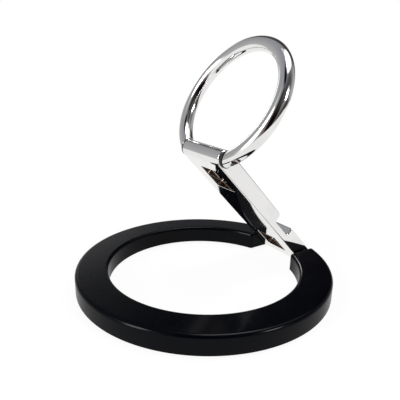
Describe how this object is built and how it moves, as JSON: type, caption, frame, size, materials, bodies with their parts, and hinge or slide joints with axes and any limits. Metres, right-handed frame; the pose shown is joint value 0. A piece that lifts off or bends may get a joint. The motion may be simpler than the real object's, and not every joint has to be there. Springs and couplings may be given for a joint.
{
  "type": "phone ring holder",
  "caption": "Magnetic phone ring holder: flat base ring with a gap, a hinged link arm in the gap and a round finger ring hinged on the link, opened out for use as a grip or stand.",
  "frame": {"origin": "centre of the base ring on the face that meets the phone", "axes": "+Z away from the phone, +Y towards the gap in the base, +X along both hinge axes"},
  "size_m": [0.056, 0.0553, 0.0523],
  "materials": {
    "black_anodised": "satin black anodised",
    "chrome_plate": "polished",
    "pad_rubber": "matte",
    "magnet_nickel": "nickel plated",
    "zinc_plated_steel": "zinc plated",
    "pin_steel": "ground",
    "washer_nylon": "black nylon",
    "spring_bronze": "plain"
  },
  "bodies": {
    "base": {"base_ring": "black_anodised", "bottom_pad": "pad_rubber", "steel_yoke": "zinc_plated_steel", "lower_pin": "pin_steel", "lower_washer_left": "washer_nylon", "lower_washer_right": "washer_nylon", "magnet_01": "magnet_nickel", "magnet_02": "magnet_nickel", "magnet_03": "magnet_nickel", "magnet_04": "magnet_nickel", "magnet_05": "magnet_nickel", "magnet_06": "magnet_nickel", "magnet_07": "magnet_nickel", "magnet_08": "magnet_nickel", "magnet_09": "magnet_nickel", "magnet_10": "magnet_nickel", "magnet_11": "magnet_nickel", "magnet_12": "magnet_nickel", "magnet_13": "magnet_nickel", "magnet_14": "magnet_nickel", "magnet_15": "magnet_nickel", "magnet_16": "magnet_nickel"},
    "link": {"link_arm": "chrome_plate", "lower_friction_sleeve": "spring_bronze", "upper_friction_sleeve": "spring_bronze"},
    "ring": {"finger_ring": "chrome_plate", "upper_pin": "pin_steel", "upper_washer_left": "washer_nylon", "upper_washer_right": "washer_nylon"}
  },
  "joints": [
    {"name": "link_hinge", "type": "hinge", "parent": "base", "child": "link", "pos_m": [0, 0.02545, 0.0021], "axis": [-1, 0, 0], "range_deg": [-46.5, 73.5]},
    {"name": "ring_hinge", "type": "hinge", "parent": "link", "child": "ring", "pos_m": [0, 0.00003, 0.02889], "axis": [1, 0, 0], "range_deg": [-101.9, 34.3]}
  ]
}
